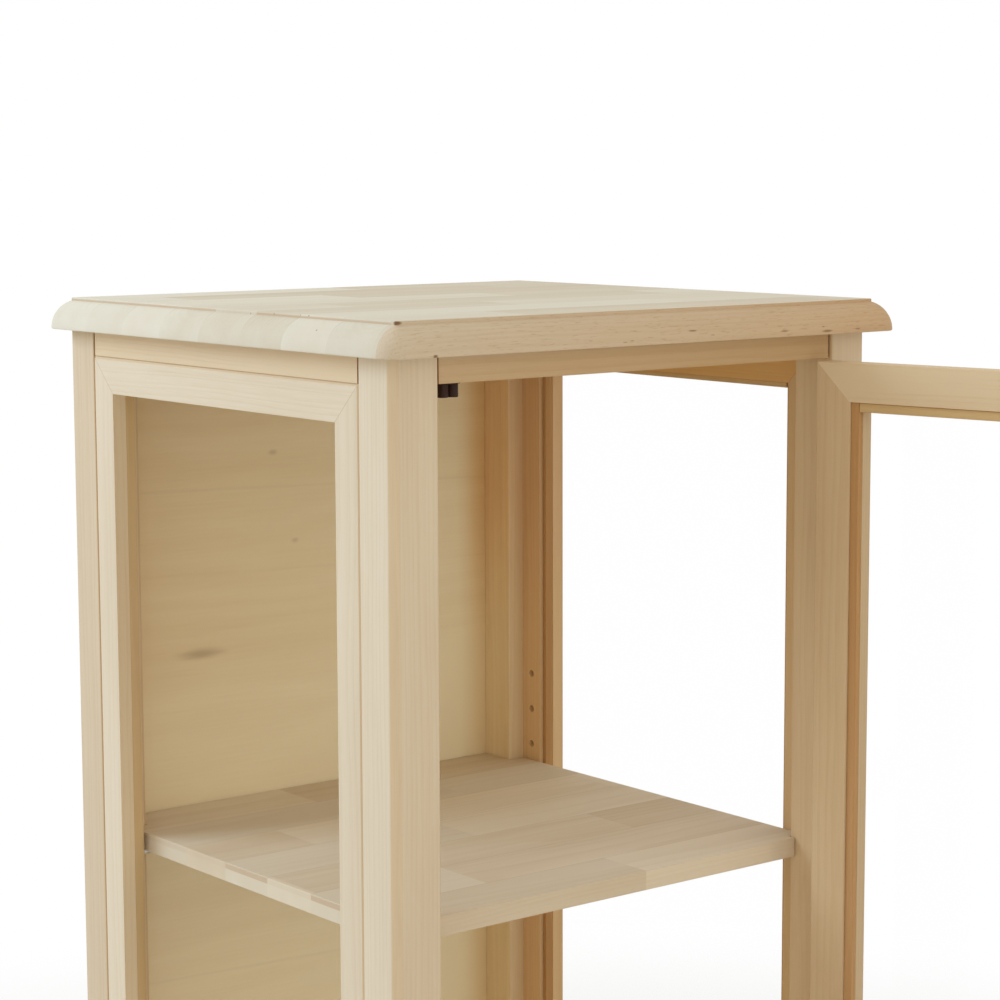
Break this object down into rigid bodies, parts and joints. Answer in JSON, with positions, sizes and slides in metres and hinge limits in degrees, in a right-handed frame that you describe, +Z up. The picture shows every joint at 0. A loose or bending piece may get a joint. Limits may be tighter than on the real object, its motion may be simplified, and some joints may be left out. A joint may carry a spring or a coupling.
{
  "type": "display cabinet",
  "caption": "Tall narrow display cabinet in plain pale wood with chamfered posts, moulded top, mitred glazed sides and a glazed door on the right.",
  "frame": {"origin": "on the floor under the middle of the carcass plan, taken over the four posts", "axes": "+Z up, +X to the right and -Y to the front as seen from the front; the door stands open as in the picture"},
  "size_m": [0.526, 0.8223, 1.2],
  "materials": {
    "solid_wood": "raw, sanded",
    "plywood": "raw plywood",
    "clear_glass": "clear float glass",
    "brass_fittings": "satin",
    "plated_steel": "zinc plated",
    "brown_plastic": "moulded",
    "magnet": "sintered",
    "glide_plastic": "moulded"
  },
  "bodies": {
    "cabinet": {"top_board": "solid_wood", "post_front_left": "solid_wood", "post_front_right": "solid_wood", "post_rear_left": "solid_wood", "post_rear_right": "solid_wood", "top_rail_front": "solid_wood", "top_rail_rear": "solid_wood", "top_rail_left": "solid_wood", "top_rail_right": "solid_wood", "bottom_rail_front": "solid_wood", "bottom_rail_rear": "solid_wood", "bottom_rail_left": "solid_wood", "bottom_rail_right": "solid_wood", "left_frame_top": "solid_wood", "left_frame_bottom": "solid_wood", "left_frame_front_stile": "solid_wood", "left_frame_rear_stile": "solid_wood", "right_frame_top": "solid_wood", "right_frame_bottom": "solid_wood", "right_frame_front_stile": "solid_wood", "right_frame_rear_stile": "solid_wood", "bottom_board": "solid_wood", "upper_shelf": "solid_wood", "lower_shelf": "solid_wood", "back_panel": "plywood", "left_glass": "clear_glass", "right_glass": "clear_glass", "hinge_upper_post_leaf": "brass_fittings", "hinge_lower_post_leaf": "brass_fittings", "hinge_upper_pin": "brass_fittings", "hinge_lower_pin": "brass_fittings", "hinge_post_screws": "brass_fittings", "left_glazing_points": "plated_steel", "right_glazing_points": "plated_steel", "back_panel_staples": "plated_steel", "top_fixing_screws": "plated_steel", "upper_shelf_pins": "plated_steel", "lower_shelf_pins": "plated_steel", "catch_screws": "plated_steel", "catch_housing": "brown_plastic", "catch_magnets": "magnet", "floor_glides": "glide_plastic"},
    "door": {"door_top_rail": "solid_wood", "door_bottom_rail": "solid_wood", "door_hinge_stile": "solid_wood", "door_closing_stile": "solid_wood", "door_glass": "clear_glass", "door_glazing_points": "plated_steel", "door_knob": "solid_wood", "knob_screw": "plated_steel", "strike_plate": "plated_steel", "strike_screws": "plated_steel", "hinge_upper_door_leaf": "brass_fittings", "hinge_lower_door_leaf": "brass_fittings", "hinge_door_screws": "brass_fittings"}
  },
  "joints": [
    {"name": "door_hinge", "type": "hinge", "parent": "cabinet", "child": "door", "pos_m": [0.1884, -0.2206, 0.6179], "axis": [0, 0, 1], "range_deg": [-101.36, 68.64]}
  ]
}
